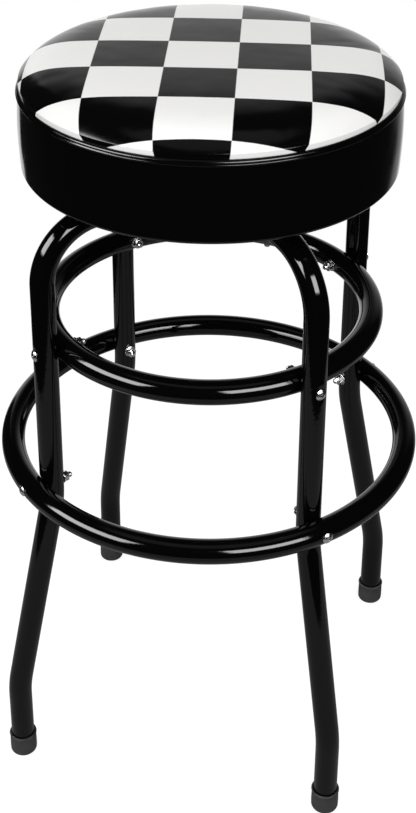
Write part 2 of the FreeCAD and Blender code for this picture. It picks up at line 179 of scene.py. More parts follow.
class Value:
    """A shader socket. Arithmetic on it adds Math nodes to its tree."""

    def __init__(self, maker, output):
        self.maker = maker
        self.output = output

    def math(self, operation, *values):
        return self.maker.node("ShaderNodeMath", {"operation": operation}, values)[0]

    def __add__(self, other):
        return self.math("ADD", self, other)

    __radd__ = __add__

    def __sub__(self, other):
        return self.math("SUBTRACT", self, other)

    def __rsub__(self, other):
        return self.math("SUBTRACT", other, self)

    def __mul__(self, other):
        return self.math("MULTIPLY", self, other)

    __rmul__ = __mul__

    def __truediv__(self, other):
        return self.math("DIVIDE", self, other)

    def __gt__(self, other):
        return self.math("GREATER_THAN", self, other)

    def fold(self, length):
        """The value's distance from the nearest whole multiple of twice the length."""
        return self.math("PINGPONG", self, length)

    def largest(self, other):
        return self.math("MAXIMUM", self, other)

    def step(self, low, high):
        """0 below low, 1 above high, and smooth between them."""
        made = self.maker.node("ShaderNodeMapRange", {"interpolation_type": "SMOOTHSTEP"},
                               {"Value": self, "From Min": low, "From Max": high})
        return made["Result"]


class NodeMaker:
    """Adds nodes to one tree."""

    def __init__(self, tree):
        self.tree = tree
        tree.nodes.clear()

    def node(self, kind, settings=None, inputs=None):
        """Adds a node, sets its settings first and then its sockets, and returns its outputs."""
        made = self.tree.nodes.new(kind)
        for name, value in (settings or {}).items():
            setattr(made, name, value)
        pairs = inputs.items() if isinstance(inputs, dict) else enumerate(inputs or [])
        for key, value in pairs:
            if isinstance(value, Value):
                self.tree.links.new(value.output, made.inputs[key])
            else:
                made.inputs[key].default_value = value
        outputs = {output.name: Value(self, output) for output in made.outputs}
        outputs.update({place: Value(self, output) for place, output in enumerate(made.outputs)})
        return outputs

    def place(self):
        """Where the shaded point is, in the object's own coordinates."""
        return self.node("ShaderNodeTexCoord")["Object"]

    def parts(self, vector):
        made = self.node("ShaderNodeSeparateXYZ", None, [vector])
        return made["X"], made["Y"], made["Z"]

    def vector(self, x, y, z):
        return self.node("ShaderNodeCombineXYZ", None, [x, y, z])[0]

    def noise(self, place, scale, detail=2.0, roughness=0.5):
        inputs = {"Vector": place, "Scale": scale, "Detail": detail, "Roughness": roughness}
        return self.node("ShaderNodeTexNoise", {"normalize": True}, inputs)[0]

    def cells(self, place, scale):
        inputs = {"Vector": place, "Scale": scale}
        return self.node("ShaderNodeTexVoronoi", {"feature": "F1"}, inputs)["Distance"]

    def mix(self, factor, first, second):
        """A blend of two colours."""
        made = self.node("ShaderNodeMix", {"data_type": "RGBA"}, {0: factor, 6: first, 7: second})
        return made[2]

    def bump(self, height, distance, strength=1.0, normal=None):
        inputs = {"Height": height, "Distance": distance, "Strength": strength}
        if normal is not None:
            inputs["Normal"] = normal
        return self.node("ShaderNodeBump", None, inputs)[0]

    def surface(self, inputs):
        """Ends a material with one Principled shader."""
        shader = self.node("ShaderNodeBsdfPrincipled", None, inputs)
        self.node("ShaderNodeOutputMaterial", None, {"Surface": shader[0]})


def new_material(name):
    material = bpy.data.materials.new(name)
    material.use_nodes = True
    return material, NodeMaker(material.node_tree)


# Finishes

def gloss_enamel(maker, finish):
    """Baked gloss enamel: black, with a faint orange peel and a few dull patches."""
    place = maker.place()
    peel = maker.noise(place, 260.0, 1.0)
    dullness = maker.noise(place, 18.0, 3.0).step(0.45, 0.75)
    maker.surface({
        "Base Color": finish.enamel_colour,
        "Roughness": 0.055 + 0.05 * dullness,
        "IOR": 1.5,
        "Specular IOR Level": 0.3,
        "Normal": maker.bump(peel, 0.00003),
    })


def satin_enamel(maker, finish):
    """Thinner, duller enamel on the stamped swivel plates."""
    place = maker.place()
    peel = maker.noise(place, 420.0, 2.0)
    wear = maker.noise(place, 60.0, 3.0)
    maker.surface({
        "Base Color": maker.mix(wear.step(0.4, 0.8), (0.006, 0.006, 0.0065, 1), (0.016, 0.016, 0.016, 1)),
        "Roughness": 0.24 + 0.14 * wear,
        "Normal": maker.bump(peel, 0.00005),
    })


def vinyl_grain(maker, place):
    """The fine pebbled grain of upholstery vinyl over slow waves from the foam under it."""
    grain = maker.cells(place, 1500.0) * 0.5 + maker.noise(place, 900.0, 2.0) * 0.5
    waves = maker.noise(place, 16.0, 2.0)
    slow = maker.bump(waves, 0.0006)
    return maker.bump(grain, 0.000025, 0.6, slow)


def black_vinyl(maker, finish):
    place = maker.place()
    smear = maker.noise(place, 30.0, 3.0)
    maker.surface({
        "Base Color": finish.vinyl_black,
        "Roughness": 0.09 + 0.05 * smear.step(0.4, 0.7),
        "IOR": 1.5,
        "Specular IOR Level": 0.3,
        "Normal": vinyl_grain(maker, place),
    })


def chequered_vinyl(maker, finish):
    """Printed gloss vinyl: squares follow the cover's own map, with a slightly soft ink edge."""
    place = maker.place()
    cover_map = maker.node("ShaderNodeUVMap", {"uv_map": "chequers"})[0]
    across, along, _ = maker.parts(cover_map)
    ink = 0.004 * (maker.noise(place, 700.0, 2.0) - 0.5)
    soft = 0.006
    edge_across = ((across - 0.5).fold(1.0) - 0.5 + ink).step(-soft, soft)
    edge_along = ((along - 0.5).fold(1.0) - 0.5 + ink).step(-soft, soft)
    white = 1 - (edge_across + edge_along - 2 * edge_across * edge_along)
    tint = maker.noise(place, 9.0, 2.0)
    white_ink = maker.mix(tint, finish.vinyl_white, (0.78, 0.775, 0.76, 1.0))
    smear = maker.noise(place, 30.0, 3.0)
    maker.surface({
        "Base Color": maker.mix(white, finish.vinyl_black, white_ink),
        "Roughness": 0.12 + 0.06 * smear.step(0.4, 0.7),
        "IOR": 1.5,
        "Specular IOR Level": 0.3,
        "Normal": vinyl_grain(maker, place),
    })


def zinc_plate(maker, finish):
    """Bright zinc: metal with a faint spangle and rubbed patches."""
    place = maker.place()
    spangle = maker.cells(place, 1300.0)
    rubbed = maker.noise(place, 380.0, 3.0)
    maker.surface({
        "Base Color": maker.mix(spangle, finish.zinc_colour, (0.55, 0.56, 0.57, 1.0)),
        "Metallic": 1.0,
        "Roughness": 0.16 + 0.22 * rubbed,
        "Normal": maker.bump(rubbed, 0.00002),
    })


def bearing_steel(maker, finish):
    """Polished balls with a thin film of grease."""
    film = maker.noise(maker.place(), 120.0, 2.0).step(0.5, 0.8)
    maker.surface({
        "Base Color": (0.62, 0.62, 0.62, 1.0),
        "Metallic": 1.0,
        "Roughness": 0.08 + 0.3 * film,
    })


def moulded_rubber(maker, finish):
    """Matt moulded rubber, a little dusty and finely pitted."""
    place = maker.place()
    dust = maker.noise(place, 140.0, 4.0, 0.65)
    pits = maker.noise(place, 1600.0, 2.0)
    maker.surface({
        "Base Color": maker.mix(dust.step(0.35, 0.8), finish.rubber_colour, (0.022, 0.0215, 0.0205, 1.0)),
        "Roughness": 0.62 + 0.2 * dust,
        "Normal": maker.bump(dust * 0.6 + pits * 0.4, 0.00012),
    })


def moulded_plastic(maker, finish):
    """Fine textured black plastic of the arm plugs."""
    texture = maker.noise(maker.place(), 2200.0, 2.0)
    maker.surface({
        "Base Color": (0.012, 0.012, 0.012, 1.0),
        "Roughness": 0.45 + 0.15 * texture,
        "Normal": maker.bump(texture, 0.00003),
    })


def plywood(maker, finish):
    """Raw plywood: long grain on the faces and dark glue lines between the plies on the edge."""
    place = maker.place()
    x, y, z = maker.parts(place)
    grain = maker.noise(maker.vector(x * 8.0, y * 90.0, z * 90.0), 1.0, 4.0, 0.6)
    rings = maker.noise(maker.vector(x * 3.0, y * 22.0, z * 3.0), 1.0, 3.0, 0.6)
    plies = (z * 400.0).fold(0.5) * 2
    wood = maker.mix(grain, (0.36, 0.22, 0.11, 1.0), (0.60, 0.43, 0.25, 1.0))
    wood = maker.mix(rings.step(0.45, 0.6) * 0.5, wood, (0.42, 0.27, 0.14, 1.0))
    maker.surface({
        "Base Color": maker.mix(plies.step(0.9, 1.0) * 0.6, wood, (0.16, 0.09, 0.05, 1.0)),
        "Roughness": 0.6 + 0.2 * grain,
        "Normal": maker.bump(grain, 0.0001),
    })


def dust_cloth(maker, finish):
    """Black non-woven cloth: short matted fibres."""
    place = maker.place()
    x, y, z = maker.parts(place)
    one_way = maker.noise(maker.vector(x * 1500.0, y * 260.0, z), 1.0, 3.0)
    other_way = maker.noise(maker.vector(x * 240.0, y * 1400.0, z), 1.0, 3.0)
    fibres = one_way * other_way
    maker.surface({
        "Base Color": maker.mix(fibres.step(0.1, 0.5), (0.010, 0.010, 0.011, 1.0),
                                (0.034, 0.034, 0.036, 1.0)),
        "Roughness": 0.85 + 0.1 * fibres,
        "Sheen Weight": 0.2,
        "Normal": maker.bump(fibres, 0.0002),
    })


FINISHES = {
    "black_gloss_paint": gloss_enamel,
    "swivel_paint": satin_enamel,
    "zinc_plate": zinc_plate,
    "bearing_steel": bearing_steel,
    "black_rubber": moulded_rubber,
    "black_plastic": moulded_plastic,
    "plywood": plywood,
    "dust_cloth": dust_cloth,
    "black_vinyl": black_vinyl,
    "chequered_vinyl": chequered_vinyl,
}


def finish_material(slot_name):
    """The material of a record slot, made the first time that it is asked for."""
    name = slot_name + "_finish"
    material = bpy.data.materials.get(name)
    if material is None:
        material, maker = new_material(name)
        FINISHES[slot_name](maker, bpy.context.scene.stool_finish)
    return material


# Mesh helpers

def add_piece(name, bm, body, slot_name, nodes, sharp_degrees=35.0):
    """Turns a bmesh into a piece that rides on a body, stands for its nodes and has its slot's finish."""
    mesh = bpy.data.meshes.new(name)
    bm.to_mesh(mesh)
    bm.free()
    mesh.shade_smooth()
    mesh.set_sharp_from_angle(angle=math.radians(sharp_degrees))
    piece = bpy.data.objects.new(name, mesh)
    bpy.context.scene.collection.objects.link(piece)
    mesh.materials.append(finish_material(slot_name))
    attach(piece, body)
    if nodes:
        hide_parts(*nodes)
    return piece


def arc_points(centre, radius, start_degrees, end_degrees, steps):
    """Points of a round corner in a profile, as pairs of radius and height."""
    points = []
    for step in range(steps + 1):
        angle = math.radians(start_degrees + (end_degrees - start_degrees) * step / steps)
        points.append((centre[0] + radius * math.cos(angle), centre[1] + radius * math.sin(angle)))
    return points


def lathe(bm, profile, steps, closed=False):
    """Spins a profile round the Z axis into a closed skin. A fine one is spun as a wedge and repeated."""
    verts = [bm.verts.new((radius, 0.0, height)) for radius, height in profile]
    edges = [bm.edges.new(pair) for pair in zip(verts, verts[1:])]
    if closed:
        edges.append(bm.edges.new((verts[-1], verts[0])))
    fine = 120
    wedge_steps = 20
    wedges = 1 if steps < fine else steps // wedge_steps
    bmesh.ops.spin(bm, geom=verts + edges, cent=(0, 0, 0), axis=(0, 0, 1), dvec=(0, 0, 0),
                   angle=2 * math.pi / wedges, steps=steps // wedges, use_merge=wedges == 1,
                   use_duplicate=False)
    if wedges > 1:
        turned = mesh_from(bm.copy())
        for number in range(1, wedges):
            known = len(bm.verts)
            bm.from_mesh(turned)
            bm.verts.ensure_lookup_table()
            turn = around(360 * number / wedges)
            for vert in bm.verts[known:]:
                vert.co = turn @ vert.co
    bmesh.ops.remove_doubles(bm, verts=bm.verts[:], dist=1e-6)
    bmesh.ops.recalc_face_normals(bm, faces=bm.faces[:])


def lathed(profile, steps, closed=False):
    bm = bmesh.new()
    lathe(bm, profile, steps, closed)
    return bm


def mesh_from(bm):
    """Moves a bmesh into a mesh of its own, to be stamped many times."""
    mesh = bpy.data.meshes.new("stamp")
    bm.to_mesh(mesh)
    bm.free()
    return mesh


def stamp(bm, mesh, matrix):
    """Adds a copy of a mesh to a bmesh at a place."""
    known = len(bm.verts)
    bm.from_mesh(mesh)
    bm.verts.ensure_lookup_table()
    bmesh.ops.transform(bm, matrix=matrix, verts=bm.verts[known:])


def combined(first, second, operation):
    """The boolean of two bmeshes, as a new bmesh."""
    objects = []
    for source in (first, second):
        thing = bpy.data.objects.new("boolean", mesh_from(source))
        bpy.context.scene.collection.objects.link(thing)
        objects.append(thing)
    modifier = objects[0].modifiers.new("cut", "BOOLEAN")
    modifier.operation = operation
    modifier.object = objects[1]
    modifier.solver = "EXACT"
    graph = bpy.context.evaluated_depsgraph_get()
    result = bpy.data.meshes.new_from_object(objects[0].evaluated_get(graph))
    bm = bmesh.new()
    bm.from_mesh(result)
    for thing in objects:
        bpy.data.objects.remove(thing)
    return bm


def turned_to(direction):
    """The rotation that takes +Z to a direction."""
    return Vector(direction).to_track_quat("Z", "Y").to_matrix().to_4x4()


def set_radius(vert, radius, new_radius):
    """Moves a vertex straight out from the Z axis, or in."""
    vert.co.x *= new_radius / radius
    vert.co.y *= new_radius / radius


def toward(azimuth, elevation):
    """The direction at an azimuth from the front and an elevation, both in degrees."""
    a = math.radians(azimuth)
    e = math.radians(elevation)
    return Vector((math.sin(a) * math.cos(e), -math.cos(a) * math.cos(e), math.sin(e)))


def around(azimuth):
    return Matrix.Rotation(math.radians(azimuth), 4, "Z")


def smooth_share(value, low, high):
    share = min(1.0, max(0.0, (value - low) / (high - low)))
    return share * share * (3 - 2 * share)


# Tube frame

def leg_bend(settings):
    """The angle of the splay and where the knee and ankle arcs start and end."""
    drop = settings.knee_height - settings.ankle_height
    splay = math.atan2(FOOT_RADIUS - settings.leg_radius, drop)
    knee_trim = settings.knee_bend_radius * math.tan(splay / 2)
    ankle_trim = settings.ankle_bend_radius * math.tan(splay / 2)
    return splay, knee_trim, ankle_trim


def extend_tube(bm, loop, move, step):
    """Extrudes an open end of a tube along a straight run, in even steps."""
    count = max(1, round(move.length / step))
    for _ in range(count):
        grown = bmesh.ops.extrude_edge_only(bm, edges=loop)["geom"]
        verts = [part for part in grown if isinstance(part, bmesh.types.BMVert)]
        loop = [part for part in grown if isinstance(part, bmesh.types.BMEdge)
                and all(vert in verts for vert in part.verts)]
        bmesh.ops.translate(bm, vec=move / count, verts=verts)
    return loop


def bend_tube(bm, loop, centre, angle, steps):
    """Spins an open end of a tube round a bend's centre, about the Y axis."""
    verts = list({vert for edge in loop for vert in edge.verts})
    last = bmesh.ops.spin(bm, geom=verts + loop, cent=centre, axis=(0, 1, 0), dvec=(0, 0, 0),
                          angle=angle, steps=steps, use_merge=False, use_duplicate=False)["geom_last"]
    return [part for part in last if isinstance(part, bmesh.types.BMEdge)]


def press_saddle(verts, ring_radius, ring_height, depth_radius):
    """Pushes a tube's skin out of the way of a ring, so that the ring lies in a shallow saddle."""
    shoulder = 0.0007
    for vert in verts:
        radius = math.hypot(vert.co.x, vert.co.y)
        across = radius - ring_radius
        rise = vert.co.z - ring_height
        distance = math.hypot(across, rise)
        if distance > depth_radius + 4 * shoulder or distance < 1e-6:
            continue
        excess = (depth_radius - distance) / shoulder
        pushed = distance + shoulder * math.log1p(math.exp(excess))
        new_radius = ring_radius + across / distance * pushed
        set_radius(vert, radius, new_radius)
        vert.co.z = ring_height + rise / distance * pushed


def press_flat(verts, seat, inward, radius):
    """Presses a round flat into a tube: seat is its middle, inward the way that it is pressed."""
    for vert in verts:
        offset = vert.co - seat
        depth = -offset.dot(inward)
        if depth <= 0:
            continue
        aside = (offset + inward * depth).length
        if depth > 0.004 or aside > radius * 1.5:
            continue
        vert.co += inward * depth * (1 - smooth_share(aside, radius, radius * 1.35))


class STOOL_OT_build_legs(bpy.types.Operator):
    """Build the four bent tube legs with their pressed saddles"""
    bl_idname = "stool.build_legs"
    bl_label = "Legs"

    def leg_mesh(self, settings):
        splay, knee_trim, ankle_trim = leg_bend(settings)
        upright = settings.leg_radius
        bend = settings.arm_bend_radius
        step = 0.0025
        bm = bmesh.new()
        start = Matrix.Translation((settings.arm_end_radius, 0, ARM_HEIGHT)) @ Matrix.Rotation(
            math.pi / 2, 4, "Y")
        bmesh.ops.create_circle(bm, cap_ends=True, segments=56, radius=TUBE_RADIUS, matrix=start)
        loop = bm.edges[:]
        loop = extend_tube(bm, loop, Vector((upright - bend - settings.arm_end_radius, 0, 0)), 0.004)
        loop = bend_tube(bm, loop, (upright - bend, 0, ARM_HEIGHT - bend), math.pi / 2, 36)
        knee_start = settings.knee_height + knee_trim
        loop = extend_tube(bm, loop, Vector((0, 0, knee_start - (ARM_HEIGHT - bend))), step)
        loop = bend_tube(bm, loop, (upright + settings.knee_bend_radius, 0, knee_start), -splay, 14)
        knee_end = Vector((upright + knee_trim * math.sin(splay), 0,
                           settings.knee_height - knee_trim * math.cos(splay)))
        ankle_start = Vector((FOOT_RADIUS - ankle_trim * math.sin(splay), 0,
                              settings.ankle_height + ankle_trim * math.cos(splay)))
        loop = extend_tube(bm, loop, ankle_start - knee_end, 0.006)
        ankle_end = settings.ankle_height - ankle_trim
        loop = bend_tube(bm, loop, (FOOT_RADIUS - settings.ankle_bend_radius, 0, ankle_end), splay, 12)
        loop = extend_tube(bm, loop, Vector((0, 0, settings.tip_floor - ankle_end)), 0.006)
        bmesh.ops.contextual_create(bm, geom=loop)

        saddle = RING_TUBE_RADIUS + 0.0001
        press_saddle(bm.verts, UPPER_RING_RADIUS, UPPER_RING_HEIGHT, saddle)
        press_saddle(bm.verts, LOWER_RING_RADIUS, LOWER_RING_HEIGHT, saddle)
        flat = settings.washer_radius
        deep = TUBE_RADIUS - settings.press_depth
        press_flat(bm.verts, Vector((upright + deep, 0, UPPER_RING_HEIGHT)), Vector((-1, 0, 0)), flat)
        press_flat(bm.verts, Vector((upright - deep, 0, LOWER_RING_HEIGHT)), Vector((1, 0, 0)), flat)
        for bolt in arm_bolt_radii():
            press_flat(bm.verts, Vector((bolt, 0, ARM_HEIGHT - deep)), Vector((0, 0, 1)), flat)
        bmesh.ops.recalc_face_normals(bm, faces=bm.faces[:])
        return mesh_from(bm)

    def execute(self, context):
        shape = self.leg_mesh(context.scene.stool_frame)
        for place, azimuth in LEG_AZIMUTHS.items():
            bm = bmesh.new()
            stamp(bm, shape, around(azimuth))
            node = "leg_" + place
            add_piece(node + "_tube", bm, "base", "black_gloss_paint", [node], 60)
        return {"FINISHED"}


def arm_bolt_radii():
    """How far the screws through the arms stand from the middle of the stool."""
    settings = bpy.context.scene.stool_frame
    outer = (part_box("arm_screws")[1].x - settings.head_radius) * math.sqrt(2)
    inner = settings.arm_end_radius + settings.inner_bolt_margin
    return inner, outer


class STOOL_OT_build_rings(bpy.types.Operator):
    """Build the upper and the lower foot ring"""
    bl_idname = "stool.build_rings"
    bl_label = "Rings"

    def ring_mesh(self, radius, height, flat_side, settings):
        bm = bmesh.new()
        profile = arc_points((radius, height), RING_TUBE_RADIUS, 0, 360, 52)[:-1]
        lathe(bm, profile, 320, closed=True)
        deep = RING_TUBE_RADIUS - settings.press_depth
        for azimuth in LEG_AZIMUTHS.values():
            turn = around(azimuth).to_3x3()
            seat = turn @ Vector((radius + flat_side * deep, 0, height))
            press_flat(bm.verts, seat, turn @ Vector((-flat_side, 0, 0)), settings.washer_radius)
        return bm

    def execute(self, context):
        settings = context.scene.stool_frame
        upper = self.ring_mesh(UPPER_RING_RADIUS, UPPER_RING_HEIGHT, -1, settings)
        add_piece("upper_ring_tube", upper, "base", "black_gloss_paint", ["upper_ring"], 60)
        lower = self.ring_mesh(LOWER_RING_RADIUS, LOWER_RING_HEIGHT, 1, settings)
        add_piece("lower_ring_tube", lower, "base", "black_gloss_paint", ["lower_ring"], 60)
        return {"FINISHED"}


class STOOL_OT_build_tips(bpy.types.Operator):
    """Build the rubber foot tips"""
    bl_idname = "stool.build_tips"
    bl_label = "Foot tips"

    def tip_mesh(self, settings):
        """A moulded cup: a ribbed foot, a body that draws in a little, and a rounded bead at its top."""
        edge = 0.004
        bead = 0.0012
        body = TIP_RADIUS - settings.tip_lip
        inner = TUBE_RADIUS + 0.0001
        bead_bottom = TIP_HEIGHT - 2 * bead
        profile = [(0.0, 0.0), (body - 0.009, 0.0)]
        profile += [(body - 0.0085, 0.0006), (body - 0.007, 0.0006), (body - 0.0065, 0.0)]
        profile += arc_points((body - edge, edge), edge, -90, 0, 8)
        profile += [(body + 0.0001, TIP_HEIGHT * 0.4), (body - 0.0001, bead_bottom - 0.0015)]
        profile += [(body - 0.0001, bead_bottom - 0.0004), (body + 0.0001, bead_bottom)]
        profile += arc_points((TIP_RADIUS - bead, TIP_HEIGHT - bead), bead, -50, 100, 10)
        profile += [(inner + 0.0003, TIP_HEIGHT - 0.0002), (inner, TIP_HEIGHT - 0.0006)]
        profile += [(inner, settings.tip_floor - 0.0001), (0.0, settings.tip_floor - 0.0001)]
        return mesh_from(lathed(profile, 72))

    def execute(self, context):
        shape = self.tip_mesh(context.scene.stool_frame)
        for place, azimuth in LEG_AZIMUTHS.items():
            bm = bmesh.new()
            stamp(bm, shape, around(azimuth) @ Matrix.Translation((FOOT_RADIUS, 0, 0)))
            node = "foot_tip_" + place
            add_piece(node + "_rubber", bm, "base", "black_rubber", [node], 50)
        return {"FINISHED"}


# Fasteners

def screw_mesh(settings, length, tail):
    """A domed screw with a cross recess: the head stands on +Z, and the end of the thread is cut."""
    head = settings.head_radius
    rim = settings.head_height / 5
    rise = settings.head_height - rim
    dome = (head ** 2 + rise ** 2) / (2 * rise)
    top_angle = 90 - math.degrees(math.asin(head / dome))
    profile = [(0.0, settings.head_height)]
    profile += list(reversed(arc_points((0.0, settings.head_height - dome), dome, top_angle, 90, 12)))[1:-1]
    profile += [(head, rim), (head - 0.0001, rim * 0.4), (head - 0.0003, 0.0)]
    core = settings.screw_radius * 0.84
    thread_top = length - tail
    profile += [(settings.screw_radius, 0.0), (settings.screw_radius, -thread_top)]
    height = -thread_top
    while height - settings.thread_pitch > -length + 0.0006:
        profile += [(core, height - 0.45 * settings.thread_pitch),
                    (settings.screw_radius, height - 0.9 * settings.thread_pitch),
                    (settings.screw_radius, height - settings.thread_pitch)]
        height -= settings.thread_pitch
    profile += [(core, -length + 0.0004), (core - 0.0005, -length), (0.0, -length)]
    body = lathed(profile, 32)

    bars = []
    for quarter in (0, 90):
        bar = bmesh.new()
        made = bmesh.ops.create_cube(bar, size=1.0)["verts"]
        bmesh.ops.scale(bar, vec=(settings.recess_width, settings.recess_slot, settings.recess_depth * 2),
                        verts=made)
        low = [vert for vert in made if vert.co.z < 0]
        bmesh.ops.scale(bar, vec=(0.4, 0.6, 1.0), verts=low)
        place = Matrix.Translation((0, 0, settings.head_height)) @ around(quarter)
        bmesh.ops.transform(bar, matrix=place, verts=made)
        bars.append(bar)
    cross = combined(*bars, "UNION")
    return mesh_from(combined(body, cross, "DIFFERENCE"))


def nut_mesh(settings):
    """A six-sided nut with chamfered corners that stands on the origin."""
    corner = settings.nut_flats / math.sqrt(3)
    height = settings.nut_height
    prism = bmesh.new()
    bmesh.ops.create_cone(prism, cap_ends=True, segments=6, radius1=corner, radius2=corner, depth=height,
                          matrix=Matrix.Translation((0, 0, height / 2)))
    chamfer = 0.0006
    flats = settings.nut_flats / 2
    bore = settings.screw_radius * 0.9
    cone = lathed([(bore, 0.0), (flats * 0.96, 0.0), (corner + 0.0002, chamfer * 1.15),
                   (corner + 0.0002, height - chamfer * 1.15), (flats * 0.96, height),
                   (settings.screw_radius * 1.1, height), (bore, height - 0.0005)], 48, closed=True)
    return mesh_from(combined(prism, cone, "INTERSECT"))


def washer_mesh(settings):
    bore = settings.screw_radius + 0.0003
    edge = 0.0002
    outer = settings.washer_radius
    top = settings.washer_thickness
    profile = [(bore, 0.0), (outer - edge, 0.0), (outer, edge), (outer, top - edge), (outer - edge, top),
               (bore + edge, top), (bore, top - edge)]
    return mesh_from(lathed(profile, 40, closed=True))


def fastener_seats(settings):
    """For each set: where the heads and the washers sit at azimuth 0, and the way that the heads face."""
    deep = TUBE_RADIUS - settings.press_depth
    ring_deep = RING_TUBE_RADIUS - settings.press_depth
    upper = (Vector((settings.leg_radius + deep, 0, UPPER_RING_HEIGHT)),
             Vector((UPPER_RING_RADIUS - ring_deep, 0, UPPER_RING_HEIGHT)), Vector((1, 0, 0)))
    lower = (Vector((LOWER_RING_RADIUS + ring_deep, 0, LOWER_RING_HEIGHT)),
             Vector((settings.leg_radius - deep, 0, LOWER_RING_HEIGHT)), Vector((1, 0, 0)))
    plate_top = LOWER_PLATE_BOTTOM + 0.0025
    arms = [(Vector((bolt, 0, plate_top)), Vector((bolt, 0, ARM_HEIGHT - deep)), Vector((0, 0, 1)))
            for bolt in arm_bolt_radii()]
    return {"upper_ring": [upper], "lower_ring": [lower], "arm": arms}


class STOOL_OT_build_fasteners(bpy.types.Operator):
    """Build the screws, washers and nuts of the frame, and the screws of the seat"""
    bl_idname = "stool.build_fasteners"
    bl_label = "Fasteners"

    def execute(self, context):
        settings = context.scene.stool_frame
        washer = washer_mesh(settings)
        nut = nut_mesh(settings)
        turn_seed = 0
        for set_name, seats in fastener_seats(settings).items():
            made = {"screws": bmesh.new(), "washers": bmesh.new(), "nuts": bmesh.new()}
            for head_seat, nut_seat, facing in seats:
                grip = (head_seat - nut_seat).length
                tail = settings.screw_tail
                length = grip + settings.washer_thickness + settings.nut_height + tail
                screw = screw_mesh(settings, length, tail)
                outward = turned_to(facing)
                inward = turned_to(-facing)
                for azimuth in LEG_AZIMUTHS.values():
                    turn_seed += 1
                    twist = Matrix.Rotation(turn_seed * 2.4, 4, "Z")
                    ring_turn = around(azimuth)
                    stamp(made["screws"], screw,
                          ring_turn @ Matrix.Translation(head_seat) @ outward @ twist)
                    stamp(made["washers"], washer, ring_turn @ Matrix.Translation(nut_seat) @ inward)
                    nut_place = nut_seat - facing * settings.washer_thickness
                    stamp(made["nuts"], nut, ring_turn @ Matrix.Translation(nut_place) @ inward @ twist)
            for kind, bm in made.items():
                node = set_name + "_" + kind
                add_piece(node + "_zinc", bm, "base", "zinc_plate", [node], 30)

        outer = arm_bolt_radii()[1]
        low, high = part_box("seat_screws")
        seat_screw = screw_mesh(settings, high.z - low.z - settings.head_height, 0.006)
        bm = bmesh.new()
        seat = Vector((outer, 0, low.z + settings.head_height))
        for azimuth in LEG_AZIMUTHS.values():
            stamp(bm, seat_screw, around(azimuth) @ Matrix.Translation(seat) @ turned_to((0, 0, -1)))
        add_piece("seat_screws_zinc", bm, "seat", "zinc_plate", ["seat_screws"], 30)
        return {"FINISHED"}


# Swivel

class STOOL_OT_build_swivel(bpy.types.Operator):
    """Build the balls of the swivel and finish its plates, cage and eyelet"""
    bl_idname = "stool.build_swivel"
    bl_label = "Swivel"

    def execute(self, context):
        settings = context.scene.stool_frame
        bm = bmesh.new()
        for number in range(settings.ball_count):
            place = around(360 / settings.ball_count * number) @ Matrix.Translation(
                (RACE_RADIUS, 0, SWIVEL_MIDDLE))
            bmesh.ops.create_icosphere(bm, subdivisions=3, radius=BALL_RADIUS, matrix=place)
        add_piece("swivel_balls_steel", bm, "ball_cage", "bearing_steel", ["swivel_balls"], 80)
        finishes = {
            "swivel_lower_plate": "swivel_paint", "swivel_upper_plate": "swivel_paint",
            "swivel_eyelet": "zinc_plate", "swivel_ball_cage": "zinc_plate",
            "seat_blind_nuts": "zinc_plate", "seat_board": "plywood", "seat_dust_cover": "dust_cloth",
        }
        for place in LEG_AZIMUTHS:
            finishes["arm_plug_" + place] = "black_plastic"
        for node, slot_name in finishes.items():
            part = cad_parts[node]
            part.data.materials.clear()
            part.data.materials.append(finish_material(slot_name))
        return {"FINISHED"}


# Seat

def crown_profile(settings, steps=34):
    """Radii and heights of the seat top, from its middle over the tight roll down to the crease."""
    crease = CREASE_HEIGHT
    edge = crease + settings.edge_height
    rise = SEAT_TOP - edge - settings.crown_dome
    power = settings.crown_power
    radius = settings.crown_radius
    flat = 0.6
    flat_steps = 14
    shares = [flat * number / flat_steps for number in range(1, flat_steps + 1)]
    fallen = flat ** power
    shares += [(fallen + (1 - fallen) * number / steps) ** (1 / power) for number in range(1, steps + 1)]
    points = [(0.0, SEAT_TOP)]
    for share in shares:
        height = edge + rise * (1 - share ** power) + settings.crown_dome * (1 - share ** 2)
        points.append((radius * share, height))
    slope = math.atan((power * rise + 2 * settings.crown_dome) / radius)
    roll = 0.0009
    facing = math.pi / 2 - slope
    centre = (radius - roll * math.cos(facing), edge - roll * math.sin(facing))
    points += arc_points(centre, roll, math.degrees(facing), -8, 7)[1:]
    radius, height = points[-1]
    wall_steps = 4
    wall_draw = 0.0005
    for number in range(1, wall_steps + 1):
        share = number / wall_steps
        points.append((radius - wall_draw * number / wall_steps, height + (crease - height) * share))
    return points


